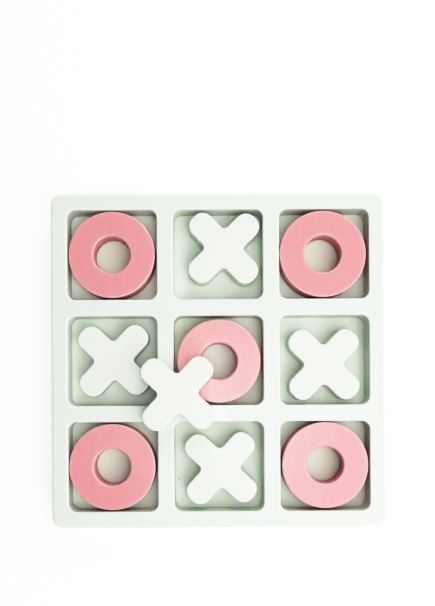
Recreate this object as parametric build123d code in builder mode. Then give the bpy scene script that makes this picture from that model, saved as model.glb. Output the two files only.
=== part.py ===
from build123d import *
import os

# A tic tac toe set: a square tray with nine cells, five noughts and five crosses.
# Millimetres. Origin at the centre of the tray's underside, +Z up, +Y towards the top row.

# tray
tray_size = 200.0
tray_corner_radius = 7.0
base_thickness = 5.0
grid_thickness = 13.0
cell_size = 53.5
rib_width = 9.8
cell_corner_radius = 5.0
base_edge_round = 1.2
rim_edge_round = 2.0
cell_edge_round = 0.9

# playing pieces
piece_thickness = 12.0
nought_radius = 25.85
small_nought_radius = 25.0
nought_hole_radius = 11.0
nought_outer_round = 0.8
nought_hole_round = 1.1
arm_length = 52.0
arm_width = 15.3
arm_corner_radius = 6.7
notch_radius = 2.9
cross_edge_round = 0.8

# levels and spacing that follow from the sizes above
cell_pitch = cell_size + rib_width
tray_height = base_thickness + grid_thickness

# nought: column and row of its cell, its shift in the cell, its outer radius
noughts = {
    "nought_top_left": (-1, 1, -0.2, 0.3, nought_radius),
    "nought_top_right": (1, 1, -0.55, 0.15, nought_radius),
    "nought_centre": (0, 0, 0.2, -0.35, small_nought_radius),
    "nought_bottom_left": (-1, -1, -0.55, -0.1, nought_radius),
    "nought_bottom_right": (1, -1, 0.2, 0.4, nought_radius),
}

# cross in a cell: column and row of its cell, its shift in the cell, its turn in degrees
crosses = {
    "cross_top": (0, 1, 3.5, 3.9, -1.4),
    "cross_left": (-1, 0, 0.6, 0.2, 1.5),
    "cross_right": (1, 0, -0.3, -2.8, 0.7),
    "cross_bottom": (0, -1, 0.9, -1.2, 2.3),
}

# the fifth cross lies on the ribs, where four cells meet
loose_cross_place = (-23.9, -19.8, tray_height)
loose_cross_turn = 2.1


def cross_plane(place, turn):
    """The plane that a cross stands on, with its first arm on the diagonal."""
    first_arm = Vector(1, 0, 0).rotate(Axis.Z, 45 + turn)
    return Plane(origin=place, x_dir=first_arm, z_dir=(0, 0, 1))


def cross_outline():
    """Two crossed arms with rounded ends and rounded notches, in the current sketch."""
    RectangleRounded(arm_length, arm_width, arm_corner_radius)
    RectangleRounded(arm_width, arm_length, arm_corner_radius)


os.makedirs("parts", exist_ok=True)

# base board: the floor of the cells
with BuildPart() as base_board:
    with BuildSketch(Plane.XY):
        RectangleRounded(tray_size, tray_size, tray_corner_radius)
    extrude(amount=base_thickness)
    fillet(base_board.faces().sort_by(Axis.Z)[0].edges(), base_edge_round)

base_board.part.label = "base_board"
export_step(base_board.part, "parts/base_board.step")

# grid frame: the border and ribs, one plate with nine cut-outs, on the base board
with BuildPart() as grid_frame:
    with BuildSketch(Plane.XY.offset(base_thickness)):
        RectangleRounded(tray_size, tray_size, tray_corner_radius)
        with GridLocations(cell_pitch, cell_pitch, 3, 3):
            RectangleRounded(cell_size, cell_size, cell_corner_radius, mode=Mode.SUBTRACT)
    extrude(amount=grid_thickness)
    rim = grid_frame.faces().sort_by(Axis.Z)[-1]
    fillet(rim.outer_wire().edges(), rim_edge_round)
    rim = grid_frame.faces().sort_by(Axis.Z)[-1]
    fillet(rim.inner_wires().edges(), cell_edge_round)

grid_frame.part.label = "grid_frame"
export_step(grid_frame.part, "parts/grid_frame.step")

# noughts: flat rings standing on the base board
for name, (column, row, shift_x, shift_y, radius) in noughts.items():
    place = (column * cell_pitch + shift_x, row * cell_pitch + shift_y, base_thickness)
    with BuildPart() as nought:
        with BuildSketch(Plane(origin=place)):
            Circle(radius)
            Circle(nought_hole_radius, mode=Mode.SUBTRACT)
        extrude(amount=piece_thickness)
        rims = nought.edges().filter_by(GeomType.CIRCLE).group_by(SortBy.RADIUS)
        fillet(rims[-1], nought_outer_round)
        fillet(rims[0], nought_hole_round)

    nought.part.label = name
    export_step(nought.part, f"parts/{name}.step")

# crosses: four stand on the base board and the fifth lies across the ribs
cross_places = {"cross_loose": (loose_cross_place, loose_cross_turn)}
for name, (column, row, shift_x, shift_y, turn) in crosses.items():
    place = (column * cell_pitch + shift_x, row * cell_pitch + shift_y, base_thickness)
    cross_places[name] = (place, turn)

for name, (place, turn) in cross_places.items():
    with BuildPart() as cross:
        with BuildSketch(cross_plane(place, turn)) as outline:
            cross_outline()
            fillet(outline.vertices().sort_by_distance((0, 0))[:4], notch_radius)
        extrude(amount=piece_thickness)
        fillet(cross.faces().filter_by(Axis.Z).edges(), cross_edge_round)

    cross.part.label = name
    export_step(cross.part, f"parts/{name}.step")
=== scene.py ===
import math

import bmesh
import bpy
import numpy as np
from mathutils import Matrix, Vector, noise
from mathutils.geometry import delaunay_2d_cdt


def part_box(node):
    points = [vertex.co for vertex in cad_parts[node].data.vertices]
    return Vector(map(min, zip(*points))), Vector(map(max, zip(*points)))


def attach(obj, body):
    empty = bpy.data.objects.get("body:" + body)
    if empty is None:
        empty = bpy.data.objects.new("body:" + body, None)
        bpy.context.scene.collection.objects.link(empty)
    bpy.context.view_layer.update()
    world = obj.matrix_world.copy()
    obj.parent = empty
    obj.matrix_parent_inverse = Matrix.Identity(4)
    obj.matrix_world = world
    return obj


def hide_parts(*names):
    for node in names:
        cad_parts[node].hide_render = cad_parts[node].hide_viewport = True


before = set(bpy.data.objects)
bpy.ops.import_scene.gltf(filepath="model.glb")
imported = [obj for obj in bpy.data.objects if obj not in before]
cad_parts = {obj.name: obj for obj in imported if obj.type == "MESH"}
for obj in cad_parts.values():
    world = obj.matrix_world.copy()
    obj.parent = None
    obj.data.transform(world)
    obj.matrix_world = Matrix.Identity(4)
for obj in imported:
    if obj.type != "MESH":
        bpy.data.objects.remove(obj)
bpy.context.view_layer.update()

# A painted wooden tic tac toe set: a tray with nine cells, five noughts and five crosses.
# Metres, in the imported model's frame: origin under the tray's centre, +Z up, +Y to the top row.

MM = 0.001

# sizes that the boxes of the CAD nodes don't give
TRAY_CORNER = 7.0 * MM
CELL_SIZE = 53.5 * MM
CELL_PITCH = 63.3 * MM
CELL_CORNER = 5.0 * MM
HOLE_RADIUS = 11.0 * MM
ARM_LENGTH = 52.0 * MM
ARM_WIDTH = 15.3 * MM
ARM_CORNER = 6.7 * MM
NOTCH_RADIUS = 2.9 * MM

# how far each edge is rounded over
BASE_ROUND = 1.2 * MM
SEAM_ROUND = 0.18 * MM
RIM_ROUND = 2.0 * MM
CELL_ROUND = 0.9 * MM
PIECE_ROUND = 0.8 * MM
HOLE_ROUND = 1.1 * MM

# each cross's turn from the diagonals, in degrees
CROSS_TURNS = {
    "cross_top": -1.4,
    "cross_left": 1.5,
    "cross_right": 0.7,
    "cross_bottom": 2.3,
    "cross_loose": 2.1,
}
NOUGHTS = sorted(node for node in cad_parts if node.startswith("nought_"))


# ---------------------------------------------------------------- outlines
# An outline is a function of inset, the distance that it moves into the wood. It gives the
# same number of points for every inset, so that the rings of a rounded edge join up in quads.


def arc(centre, radius, start, end, steps):
    """Points on an arc, its first and last included."""
    points = []
    for i in range(steps + 1):
        a = math.radians(start + (end - start) * i / steps)
        points.append(Vector((centre[0] + radius * math.cos(a), centre[1] + radius * math.sin(a))))
    return points


def between(a, b, steps):
    """Points spaced evenly between two points, both left out."""
    return [a.lerp(b, i / steps) for i in range(1, steps)]


def rounded_square(centre, half, radius, grows=1, side_steps=40, corner_steps=14):
    """A square with round corners. grows is -1 for a hole, whose edge moves outwards."""

    def outline(inset):
        h, r = half - grows * inset, radius - grows * inset
        points = []
        for turn in (0, 90, 180, 270):
            c, s = round(math.cos(math.radians(turn))), round(math.sin(math.radians(turn)))
            middle = centre[0] + (h - r) * (c - s), centre[1] + (h - r) * (c + s)
            corner = arc(middle, r, turn, turn + 90, corner_steps)
            if points:
                points += between(points[-1], corner[0], side_steps)
            points += corner
        return points + between(points[-1], points[0], side_steps)

    return outline


def circle(centre, radius, grows=1, steps=144):
    """A circle. grows is -1 for a hole."""

    def outline(inset):
        return arc(centre, radius - grows * inset, 0, 360, steps)[:-1]

    return outline


def cross(centre, turn, side_steps=9, end_steps=14, notch_steps=8):
    """Two crossed arms with rounded ends, and rounded notches between them."""
    half_length, half_width = ARM_LENGTH / 2, ARM_WIDTH / 2
    notch = half_width + NOTCH_RADIUS
    end, top = half_width - ARM_CORNER, half_length - ARM_CORNER

    def outline(inset):
        # a quarter of it: the notch right of an arm, the arm's end, and its left side
        part = arc((notch, notch), NOTCH_RADIUS + inset, 270, 180, notch_steps)
        tip = arc((end, top), ARM_CORNER - inset, 0, 90, end_steps)
        tip += arc((-end, top), ARM_CORNER - inset, 90, 180, end_steps)
        part += between(part[-1], tip[0], side_steps) + tip
        part += between(tip[-1], Vector((-half_width + inset, notch)), side_steps)
        points = []
        for quarter in range(4):
            angle = math.radians(90 * quarter + 45 + turn)
            c, s = math.cos(angle), math.sin(angle)
            points += [Vector((centre[0] + c * p.x - s * p.y, centre[1] + s * p.x + c * p.y)) for p in part]
        return points

    return outline


# ---------------------------------------------------------------- solids

# the two rows of points on a flat face, beside its rounded edge
FACE_MARGIN = 1.6 * MM
EDGE_MARGIN = 0.35 * MM

# how much of an edge the nearer of those rows is, and how widely the rest spreads over the round
EDGE_START = 0.1
EDGE_SPREAD = 0.7

# painted shade on a wall: how dark it is at its foot and at its upper edge
FOOT_SHADE = 1.0
UPPER_SHADE = 0.3

# faces are filled with points this share of their spacing away from the edges
EDGE_GAP = 0.7
MERGE_DISTANCE = 1e-7

# how far, and over what length, faces stray from true
WOBBLE = 0.035 * MM
WOBBLE_LENGTH = 11 * MM
WOBBLE_OFFSET = Vector((3.1, 7.7, 1.3))
WOBBLE_SEED = 1

# a fixed seed, because Blender's vector noise otherwise takes one from the clock
noise.seed_set(WOBBLE_SEED)


def edge_profile(low, high, low_round, high_round, wall_rows=5, round_rows=7, shade=1.0, wear_and_highlight=1.0):
    """Rows from the lower face to the upper one: inset, height, share of a paler edge, share of painted wall
    shade.

    shade scales the painted shade on the wall, which is darkest at its foot, and the last argument how much
    paler its rounded edges are, from worn paint and a painted highlight.
    """
    rows = []
    # each rounding goes paler towards its middle (wear and a painted highlight) and takes painted shade
    # towards the wall
    for z, way, r, painted_shade in ((low, 1, low_round, FOOT_SHADE), (high, -1, high_round, UPPER_SHADE)):
        part = [(r + FACE_MARGIN, z, 0.0, 0.0), (r + EDGE_MARGIN, z, wear_and_highlight * EDGE_START, 0.0)]
        for i in range(round_rows + 1):
            a = math.radians(90 * i / round_rows)
            inset, rise = r - r * math.sin(a), r - r * math.cos(a)
            edge_share = wear_and_highlight * math.sin(2 * a) ** EDGE_SPREAD
            part.append((inset, z + way * rise, edge_share, shade * painted_shade * math.sin(a)))
        rows.append(part)
    bottom, top = rows[0], rows[1][::-1]
    z_from, z_to = bottom[-1][1], top[0][1]
    wall = []
    # painted shade down the wall, darkest at its foot
    for i in range(1, wall_rows):
        up = i / wall_rows
        painted_shade = FOOT_SHADE + (UPPER_SHADE - FOOT_SHADE) * up
        wall.append((0.0, z_from + (z_to - z_from) * up, 0.0, shade * painted_shade))
    return bottom + wall + top


def inside(points, loop):
    """Which of the points lie inside a closed loop."""
    x, y = points[:, 0, None], points[:, 1, None]
    x0, y0 = loop[:, 0], loop[:, 1]
    x1, y1 = np.roll(x0, -1), np.roll(y0, -1)
    spans = (y0 > y) != (y1 > y)
    with np.errstate(divide="ignore", invalid="ignore"):
        crossing = x < (x1 - x0) * (y - y0) / (y1 - y0) + x0
    return (np.count_nonzero(spans & crossing, axis=1) % 2).astype(bool)


def in_wood(points, loops):
    """Which of the points lie inside the first loop and outside the others."""
    keep = inside(points, loops[0])
    for hole in loops[1:]:
        keep &= ~inside(points, hole)
    return keep


def lattice_points(loops, spacing):
    """Evenly spaced points in the wood, clear of its edges."""
    low, high = loops[0].min(0), loops[0].max(0)
    columns = np.arange(low[0], high[0], spacing)
    rows = np.arange(low[1], high[1], spacing * math.sqrt(3) / 2)
    lattice = np.array([(x + spacing / 2 * (i % 2), y) for i, y in enumerate(rows) for x in columns])
    lattice = lattice[in_wood(lattice, loops)]
    edge_points = np.concatenate(loops)
    nearest = np.array([np.hypot(*(edge_points - p).T).min() for p in lattice])
    return lattice[nearest > EDGE_GAP * spacing]


def cap(bm, rings, z, spacing):
    """Fills the face between the rings, the outer one first, with even triangles."""
    loops = [np.array([v.co.xy for v in ring]) for ring in rings]
    verts = [v for ring in rings for v in ring]
    edges, start = [], 0
    for ring in rings:
        edges += [(start + i, start + (i + 1) % len(ring)) for i in range(len(ring))]
        start += len(ring)
    verts += [bm.verts.new((x, y, z)) for x, y in lattice_points(loops, spacing)]
    flat = [v.co.xy for v in verts]
    places, _, faces, sources = delaunay_2d_cdt(flat, edges, [], 0, MERGE_DISTANCE)[:4]
    middles = np.array([np.mean([places[i][:] for i in face], axis=0) for face in faces])
    for face, kept in zip(faces, in_wood(middles, loops)):
        if kept:
            bm.faces.new([verts[sources[i][0]] for i in face])


def slab(name, sides, spacing=2.6 * MM):
    """A flat solid with rounded edges. Each side is an outline and a profile, the outer side first.

    The profiles all run from the same lower face to the same upper one.
    """
    bm = bmesh.new()
    # per vertex: how much paler the paint is (wear and a painted highlight), and how much painted shade a
    # wall takes
    edge = bm.verts.layers.float.new("edge")
    wall = bm.verts.layers.float.new("wall")
    low_rings, high_rings = [], []
    for outline, profile in sides:
        rings = []
        for inset, z, edge_share, wall_shade_share in profile:
            ring = [bm.verts.new((*p, z)) for p in outline(inset)]
            for v in ring:
                v[edge], v[wall] = edge_share, wall_shade_share
            rings.append(ring)
        for a, b in zip(rings, rings[1:]):
            for i in range(len(a)):
                j = (i + 1) % len(a)
                bm.faces.new((a[i], a[j], b[j], b[i]))
        low_rings.append(rings[0])
        high_rings.append(rings[-1])
    low, high = profile[0][1], profile[-1][1]
    cap(bm, low_rings, low, spacing)
    cap(bm, high_rings, high, spacing)
    bmesh.ops.recalc_face_normals(bm, faces=bm.faces)

    # hand sanding and brushed paint leave no face quite true
    for v in bm.verts:
        v.co += WOBBLE * noise.noise_vector(v.co / WOBBLE_LENGTH + WOBBLE_OFFSET)
    mesh = bpy.data.meshes.new(name)
    bm.to_mesh(mesh)
    bm.free()
    for polygon in mesh.polygons:
        polygon.use_smooth = True
    piece = bpy.data.objects.new(name, mesh)
    bpy.context.scene.collection.objects.link(piece)
    return piece


# ---------------------------------------------------------------- materials


class Nodes:
    """The nodes of one material. A value given to one is a number, a colour or another's output."""

    def __init__(self, material):
        material.use_nodes = True
        self.nodes, self.links = material.node_tree.nodes, material.node_tree.links
        self.shader = self.nodes["Principled BSDF"]
        self.place = self.nodes.new("ShaderNodeTexCoord").outputs["Object"]

    def put(self, target, value):
        if isinstance(value, bpy.types.NodeSocket):
            self.links.new(value, target)
        else:
            target.default_value = value

    def make(self, kind, values, **settings):
        node = self.nodes.new(kind)
        for key, value in settings.items():
            setattr(node, key, value)
        for key, value in values.items():
            self.put(node.inputs[key], value)
        return node

    def attribute(self, name):
        return self.make("ShaderNodeAttribute", {}, attribute_name=name).outputs["Fac"]

    def noise(self, scale, detail, stretch=(1, 1, 1)):
        mapping = self.make("ShaderNodeMapping", {"Vector": self.place, "Scale": stretch})
        values = {"Vector": mapping.outputs["Vector"], "Scale": scale, "Detail": detail}
        return self.make("ShaderNodeTexNoise", values).outputs["Fac"]

    def ranged(self, value, low, high, from_low=0.3, from_high=0.7):
        values = {"Value": value, "From Min": from_low, "From Max": from_high, "To Min": low, "To Max": high}
        return self.make("ShaderNodeMapRange", values).outputs["Result"]

    def mixed(self, share, a, b):
        values = {"Factor": share, "A": a, "B": b}
        return self.make("ShaderNodeMix", values, data_type="RGBA").outputs["Result"]

    def maths(self, operation, a, b):
        return self.make("ShaderNodeMath", {0: a, 1: b}, operation=operation).outputs[0]

    def distance(self, point):
        values = {0: self.place, 1: point}
        return self.make("ShaderNodeVectorMath", values, operation="DISTANCE").outputs["Value"]

    def bump(self, height, strength, depth):
        values = {"Height": height, "Strength": strength, "Distance": depth}
        return self.make("ShaderNodeBump", values).outputs["Normal"]


# the paint's noises, by scale per metre: slow drifts of tone, brush marks along Y, grains, fine peel
CLOUD_SCALE = 38
BRUSH_SCALE = 900
BRUSH_STRETCH = (1, 0.06, 0.3)
SPECKLE_SCALE = 1500
PEEL_SCALE = 620

# the most that each of them may shift the paint's tone, and how far the edges go paler with wear and a
# painted highlight and the walls darker with painted shade
CLOUD_SHARE = 0.55
BRUSH_SHARE = 0.06
SPECKLE_SHARE = 0.18
EDGE_SHARE = 0.8
WALL_SHADE_SHARE = 0.9

ROUGHNESS_SPREAD = 0.02
WALL_ROUGHER = 0.15
EDGE_SMOOTHER = 0.08

# how much of each noise the bump takes
PEEL_HEIGHT = 0.5
BRUSH_HEIGHT = 0.5
SPECKLE_HEIGHT = 0.22
BUMP_STRENGTH = 0.12
BUMP_DEPTH = 0.06 * MM

BARE_WOOD = (0.26, 0.17, 0.08, 1)
NICK_SHARE = 0.5
NICK_INNER = 0.4 * MM
NICK_OUTER = 0.8 * MM


def painted(name, colour, shade, light, wall_shade_colour, roughness, nick=None):
    """Satin paint on fine wood: brushed tone, faint grain, thinner, smoother paint on the edges, which are
    paler from wear and a painted highlight, and painted shade on the walls, darkest at their foot.
    """
    material = bpy.data.materials.new(name)
    nodes = Nodes(material)
    shader = nodes.shader
    edge, wall = nodes.attribute("edge"), nodes.attribute("wall")
    cloud = nodes.noise(CLOUD_SCALE, 3)
    brush = nodes.noise(BRUSH_SCALE, 3, BRUSH_STRETCH)
    speckle = nodes.noise(SPECKLE_SCALE, 2)
    peel = nodes.noise(PEEL_SCALE, 3)

    tone = nodes.mixed(nodes.ranged(cloud, 0.0, CLOUD_SHARE), colour, shade)
    tone = nodes.mixed(nodes.ranged(brush, 0.0, BRUSH_SHARE), tone, light)
    tone = nodes.mixed(nodes.ranged(speckle, 0.0, SPECKLE_SHARE), tone, shade)
    # rounded edges go paler: worn paint and a painted highlight
    tone = nodes.mixed(nodes.maths("MULTIPLY", edge, EDGE_SHARE), tone, light)
    # walls go darker towards their foot: painted shade
    tone = nodes.mixed(nodes.maths("MULTIPLY", wall, WALL_SHADE_SHARE), tone, wall_shade_colour)
    if nick:
        bare = nodes.ranged(nodes.distance(nick), NICK_SHARE, 0.0, NICK_INNER, NICK_OUTER)
        tone = nodes.mixed(bare, tone, BARE_WOOD)
    nodes.put(shader.inputs["Base Color"], tone)

    rough = nodes.ranged(peel, roughness - ROUGHNESS_SPREAD, roughness + ROUGHNESS_SPREAD)
    rough = nodes.maths("ADD", rough, nodes.maths("MULTIPLY", wall, WALL_ROUGHER))
    rough = nodes.maths("SUBTRACT", rough, nodes.maths("MULTIPLY", edge, EDGE_SMOOTHER))
    nodes.put(shader.inputs["Roughness"], rough)
    shader.inputs["Specular IOR Level"].default_value = 0.5

    height = nodes.maths("MULTIPLY", peel, PEEL_HEIGHT)
    height = nodes.maths("ADD", height, nodes.maths("MULTIPLY", brush, BRUSH_HEIGHT))
    height = nodes.maths("ADD", height, nodes.maths("MULTIPLY", speckle, SPECKLE_HEIGHT))
    nodes.put(shader.inputs["Normal"], nodes.bump(height, BUMP_STRENGTH, BUMP_DEPTH))
    return material


mint = painted(
    "mint_paint",
    colour=(0.72, 0.79, 0.705, 1),
    shade=(0.69, 0.765, 0.675, 1),
    light=(0.88, 0.91, 0.87, 1),
    wall_shade_colour=(0.60, 0.66, 0.58, 1),
    roughness=0.38,
)
# the base board's paint is duller, with one small nick in the bottom middle cell
mint_floor = painted(
    "mint_floor_paint",
    colour=(0.73, 0.775, 0.705, 1),
    shade=(0.70, 0.75, 0.675, 1),
    light=(0.76, 0.80, 0.735, 1),
    wall_shade_colour=(0.69, 0.735, 0.67, 1),
    roughness=0.75,
    nick=(-24.5 * MM, -72.2 * MM, 5.0 * MM),
)
pink = painted(
    "pink_paint",
    colour=(0.745, 0.33, 0.345, 1),
    shade=(0.73, 0.32, 0.335, 1),
    light=(0.93, 0.66, 0.67, 1),
    wall_shade_colour=(0.42, 0.15, 0.16, 1),
    roughness=0.24,
)
white = painted(
    "white_paint",
    colour=(0.755, 0.79, 0.72, 1),
    shade=(0.73, 0.77, 0.695, 1),
    light=(0.84, 0.86, 0.83, 1),
    wall_shade_colour=(0.62, 0.66, 0.60, 1),
    roughness=0.38,
)


# ---------------------------------------------------------------- pieces


def finish_piece(piece, body, node, material):
    piece.data.materials.append(material)
    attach(piece, body)
    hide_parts(node)


def middle_and_size(node):
    """A CAD node's middle, its size, and the heights of its two faces."""
    low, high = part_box(node)
    return (low + high) / 2, high - low, low.z, high.z


def make_base_board():
    middle, size, low, high = middle_and_size("base_board")
    side = rounded_square(middle, size.x / 2, TRAY_CORNER, side_steps=80)
    # the outer side takes less painted shade than a cell wall, darkest at its foot
    profile = edge_profile(low, high, BASE_ROUND, SEAM_ROUND, wall_rows=3, shade=0.4)
    board = slab("base_panel", [(side, profile)], spacing=4 * MM)
    finish_piece(board, "tray", "base_board", mint_floor)


def make_grid_frame():
    middle, size, low, high = middle_and_size("grid_frame")
    rim = rounded_square(middle, size.x / 2, TRAY_CORNER, side_steps=80)
    # the outer side takes less painted shade than a cell wall, darkest at its foot
    sides = [(rim, edge_profile(low, high, SEAM_ROUND, RIM_ROUND, wall_rows=6, shade=0.4))]
    # the cell walls take the full painted shade, darkest at their foot
    cell_profile = edge_profile(low, high, SEAM_ROUND, CELL_ROUND, wall_rows=6)
    for column in (-1, 0, 1):
        for row in (-1, 0, 1):
            place = column * CELL_PITCH, row * CELL_PITCH
            sides.append((rounded_square(place, CELL_SIZE / 2, CELL_CORNER, grows=-1), cell_profile))
    grid = slab("grid_plate", sides)
    finish_piece(grid, "tray", "grid_frame", mint)


def make_nought(name):
    middle, size, low, high = middle_and_size(name)
    outside = circle(middle, size.x / 2), edge_profile(low, high, PIECE_ROUND, PIECE_ROUND)
    # the hole's edge takes less of the paler wear and painted highlight than the outside
    hole = circle(middle, HOLE_RADIUS, grows=-1), edge_profile(low, high, HOLE_ROUND, HOLE_ROUND, wear_and_highlight=0.6)
    ring = slab(name + "_ring", [outside, hole])
    finish_piece(ring, name, name, pink)


def make_cross(name, turn):
    middle, _, low, high = middle_and_size(name)
    side = cross(middle, turn), edge_profile(low, high, PIECE_ROUND, PIECE_ROUND)
    piece = slab(name + "_piece", [side])
    finish_piece(piece, name, name, white)


make_base_board()
make_grid_frame()
for name in NOUGHTS:
    make_nought(name)
for name, turn in CROSS_TURNS.items():
    make_cross(name, turn)


# ---------------------------------------------------------------- floor and camera

FLOOR_SIZE = 8
FLOOR_GLOW = 0.42

# straight above the tray, a little left of and below its centre
CAMERA_PLACE = (-6.4 * MM, -20.7 * MM, 366 * MM)
CAMERA_ROLL = -0.35
CAMERA_SENSOR = 36
CAMERA_LENS = 34.7
CAMERA_SHIFT = (0.0157, 0.152)


def white_floor():
    """A plain white floor that glows a little, so that it stays white round the tray."""
    bpy.ops.mesh.primitive_plane_add(size=FLOOR_SIZE)
    floor = bpy.context.object
    floor.name = "floor"
    material = bpy.data.materials.new("floor_white")
    material.use_nodes = True
    shader = material.node_tree.nodes["Principled BSDF"]
    shader.inputs["Base Color"].default_value = (0.9, 0.9, 0.9, 1)
    shader.inputs["Roughness"].default_value = 0.8
    shader.inputs["Emission Color"].default_value = (1, 1, 1, 1)
    shader.inputs["Emission Strength"].default_value = FLOOR_GLOW
    floor.data.materials.append(material)


def top_camera():
    data = bpy.data.cameras.new("camera")
    data.sensor_width = CAMERA_SENSOR
    data.lens = CAMERA_LENS
    data.shift_x, data.shift_y = CAMERA_SHIFT
    data.clip_start = 0.01
    camera = bpy.data.objects.new("camera", data)
    camera.location = CAMERA_PLACE
    camera.rotation_euler = (0, 0, math.radians(CAMERA_ROLL))
    bpy.context.scene.collection.objects.link(camera)
    bpy.context.scene.camera = camera


white_floor()
top_camera()


# ---------------------------------------------------------------- light

# azimuth from +X, elevation, distance, size and power of each soft light round the tray
SOFT_LIGHTS = {
    "window": (314, 56, 1.0, 0.90, 5.9),
    "low_window": (300, 24, 1.0, 0.60, 2.0),
    "right_side": (5, 28, 0.8, 0.50, 1.5),
    "back_side": (75, 32, 1.0, 0.60, 4.0),
    "overhead": (60, 72, 1.0, 0.80, 0.8),
    "glow": (295, 87, 0.93, 0.40, 2.0),
}

# pale studio walls, bright at floor level and dim above WALL_TOP, the sine of an elevation
WALL_BRIGHTNESS = 0.7
CEILING_BRIGHTNESS = 0.1
WALL_TOP = 0.55

# a bright exposure: a short toe for the shadows and a long shoulder for the whites
TONE_WHITE = 1.5
TONE = [(0.1, 0.035), (0.3, 0.215), (0.5, 0.47), (0.75, 0.77), (0.95, 0.89), (1.2, 0.965)]


def soft_light(name, azimuth, elevation, distance, size, power):
    """A round light that faces the tray's centre."""
    a, e = math.radians(azimuth), math.radians(elevation)
    toward = Vector((math.cos(e) * math.cos(a), math.cos(e) * math.sin(a), math.sin(e)))
    data = bpy.data.lights.new(name, "AREA")
    data.shape = "DISK"
    data.size = size
    data.energy = power
    light = bpy.data.objects.new(name, data)
    light.location = distance * toward
    light.rotation_euler = (-toward).to_track_quat("-Z", "Y").to_euler()
    bpy.context.scene.collection.objects.link(light)


def studio_walls():
    """A white world that fades upwards."""
    world = bpy.data.worlds.new("studio")
    bpy.context.scene.world = world
    world.use_nodes = True
    nodes, links = world.node_tree.nodes, world.node_tree.links
    direction = nodes.new("ShaderNodeTexCoord")
    split = nodes.new("ShaderNodeSeparateXYZ")
    fade = nodes.new("ShaderNodeMapRange")
    fade.inputs["From Max"].default_value = WALL_TOP
    fade.inputs["To Min"].default_value = WALL_BRIGHTNESS
    fade.inputs["To Max"].default_value = CEILING_BRIGHTNESS
    links.new(direction.outputs["Generated"], split.inputs["Vector"])
    links.new(split.outputs["Z"], fade.inputs["Value"])
    links.new(fade.outputs["Result"], nodes["Background"].inputs["Strength"])
    nodes["Background"].inputs["Color"].default_value = (1, 1, 1, 1)


def bright_exposure():
    view = bpy.context.scene.view_settings
    view.view_transform = "Standard"
    view.use_curve_mapping = True
    view.curve_mapping.white_level = (TONE_WHITE, TONE_WHITE, TONE_WHITE)
    curve = view.curve_mapping.curves[3]
    for light_in, light_out in TONE:
        curve.points.new(light_in / TONE_WHITE, light_out)
    view.curve_mapping.update()


for name, settings in SOFT_LIGHTS.items():
    soft_light(name, *settings)
studio_walls()
bright_exposure()
